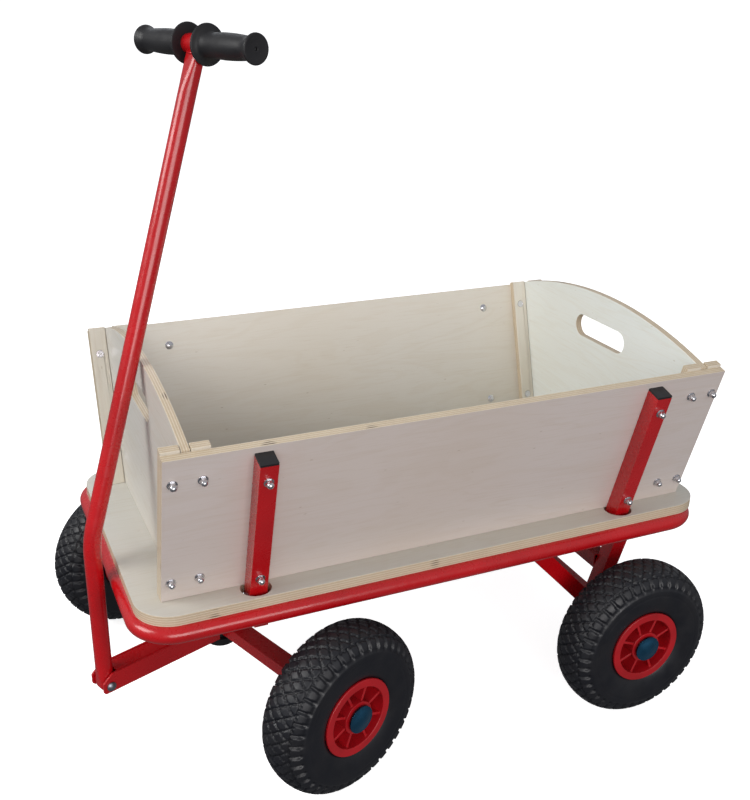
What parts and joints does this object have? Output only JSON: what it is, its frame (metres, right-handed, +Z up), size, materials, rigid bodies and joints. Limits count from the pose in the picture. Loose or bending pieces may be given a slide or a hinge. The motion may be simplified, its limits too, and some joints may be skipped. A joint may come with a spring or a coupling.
{
  "type": "wagon with pull handle",
  "caption": "Plywood-sided pull wagon on a red tubular frame with pneumatic wheels, a steered front bogie, a folding pull pole with a T-bar and lift-out box walls",
  "frame": {"origin": "middle of the bounding box in plan, on the ground under the wheels", "axes": "+X points forward, the way the wagon is pulled; +Y points to the left side; +Z is up"},
  "size_m": [0.9888, 0.7012, 1.0455],
  "materials": {
    "ply": "clear-lacquered birch plywood",
    "frame_red": "gloss red powder coat",
    "steel": "bright turned steel",
    "zinc": "bright zinc plate",
    "cap_zinc": "blue-passivated zinc",
    "black_plastic": "moulded black",
    "grip_rubber": "matte black",
    "tyre": "black with moulded tread",
    "tube_rubber": "butyl",
    "rim_red": "moulded red plastic",
    "bush": "plain bearing plastic"
  },
  "bodies": {
    "chassis": {"bed_board": "ply", "frame_side_rails": "frame_red", "frame_end_rails": "frame_red", "cross_members": "frame_red", "stake_sockets": "frame_red", "kingpin_tower": "frame_red", "kingpin": "steel", "bed_bolts": "steel", "rear_front_struts": "frame_red", "rear_back_struts": "frame_red", "rear_beam": "frame_red", "rear_axle_stubs": "steel", "rear_axle_washers": "steel", "rear_hub_caps": "cap_zinc", "front_panel": "ply"},
    "bogie": {"front_beam": "frame_red", "thrust_ring": "black_plastic", "kingpin_cap": "black_plastic", "front_axle_stubs": "steel", "front_axle_washers": "steel", "front_hub_caps": "cap_zinc", "drawbar": "frame_red", "fork_cheeks": "frame_red", "pivot_bolt": "zinc", "pivot_nut": "zinc"},
    "pole": {"pole": "frame_red", "t_bar_tube": "frame_red", "grip_left": "grip_rubber", "grip_right": "grip_rubber"},
    "left_wall": {"left_wall_board": "ply", "left_battens": "ply", "left_stakes": "frame_red", "left_stake_caps": "black_plastic", "left_wall_bolts": "zinc", "left_wall_washers": "zinc", "left_wall_nuts": "zinc"},
    "right_wall": {"right_wall_board": "ply", "right_battens": "ply", "right_stakes": "frame_red", "right_stake_caps": "black_plastic", "right_wall_bolts": "zinc", "right_wall_washers": "zinc", "right_wall_nuts": "zinc"},
    "rear_panel": {"rear_panel": "ply"},
    "fl_wheel": {"fl_tyre": "tyre", "fl_inner_tube": "tube_rubber", "fl_rim": "rim_red", "fl_bushes": "bush"},
    "fr_wheel": {"fr_tyre": "tyre", "fr_inner_tube": "tube_rubber", "fr_rim": "rim_red", "fr_bushes": "bush"},
    "rl_wheel": {"rl_tyre": "tyre", "rl_inner_tube": "tube_rubber", "rl_rim": "rim_red", "rl_bushes": "bush"},
    "rr_wheel": {"rr_tyre": "tyre", "rr_inner_tube": "tube_rubber", "rr_rim": "rim_red", "rr_bushes": "bush"}
  },
  "joints": [
    {"name": "steering", "type": "hinge", "parent": "chassis", "child": "bogie", "pos_m": [0.26759, 0, 0.13], "axis": [0, 0, 1], "range_deg": [-44, 4]},
    {"name": "pole_fold", "type": "hinge", "parent": "bogie", "child": "pole", "pos_m": [0.46681, 0.07251, 0.117], "axis": [-0.342, 0.9397, 0], "range_deg": [0, 105]},
    {"name": "left_wall_lift", "type": "slide", "parent": "chassis", "child": "left_wall", "axis": [0, 0.2807, 0.9598], "range_m": [0, 0.3]},
    {"name": "right_wall_lift", "type": "slide", "parent": "chassis", "child": "right_wall", "axis": [0, -0.2807, 0.9598], "range_m": [0, 0.3]},
    {"name": "rear_panel_lift", "type": "slide", "parent": "chassis", "child": "rear_panel", "axis": [0, 0, 1], "range_m": [0, 0.3]},
    {"name": "fl_spin", "type": "hinge", "parent": "bogie", "child": "fl_wheel", "pos_m": [0.16669, 0.27721, 0.13], "axis": [-0.342, 0.9397, 0], "continuous": true},
    {"name": "fr_spin", "type": "hinge", "parent": "bogie", "child": "fr_wheel", "pos_m": [0.36849, -0.27721, 0.13], "axis": [-0.342, 0.9397, 0], "continuous": true},
    {"name": "rl_spin", "type": "hinge", "parent": "chassis", "child": "rl_wheel", "pos_m": [-0.33041, 0.295, 0.13], "axis": [0, 1, 0], "continuous": true},
    {"name": "rr_spin", "type": "hinge", "parent": "chassis", "child": "rr_wheel", "pos_m": [-0.33041, -0.295, 0.13], "axis": [0, 1, 0], "continuous": true}
  ]
}
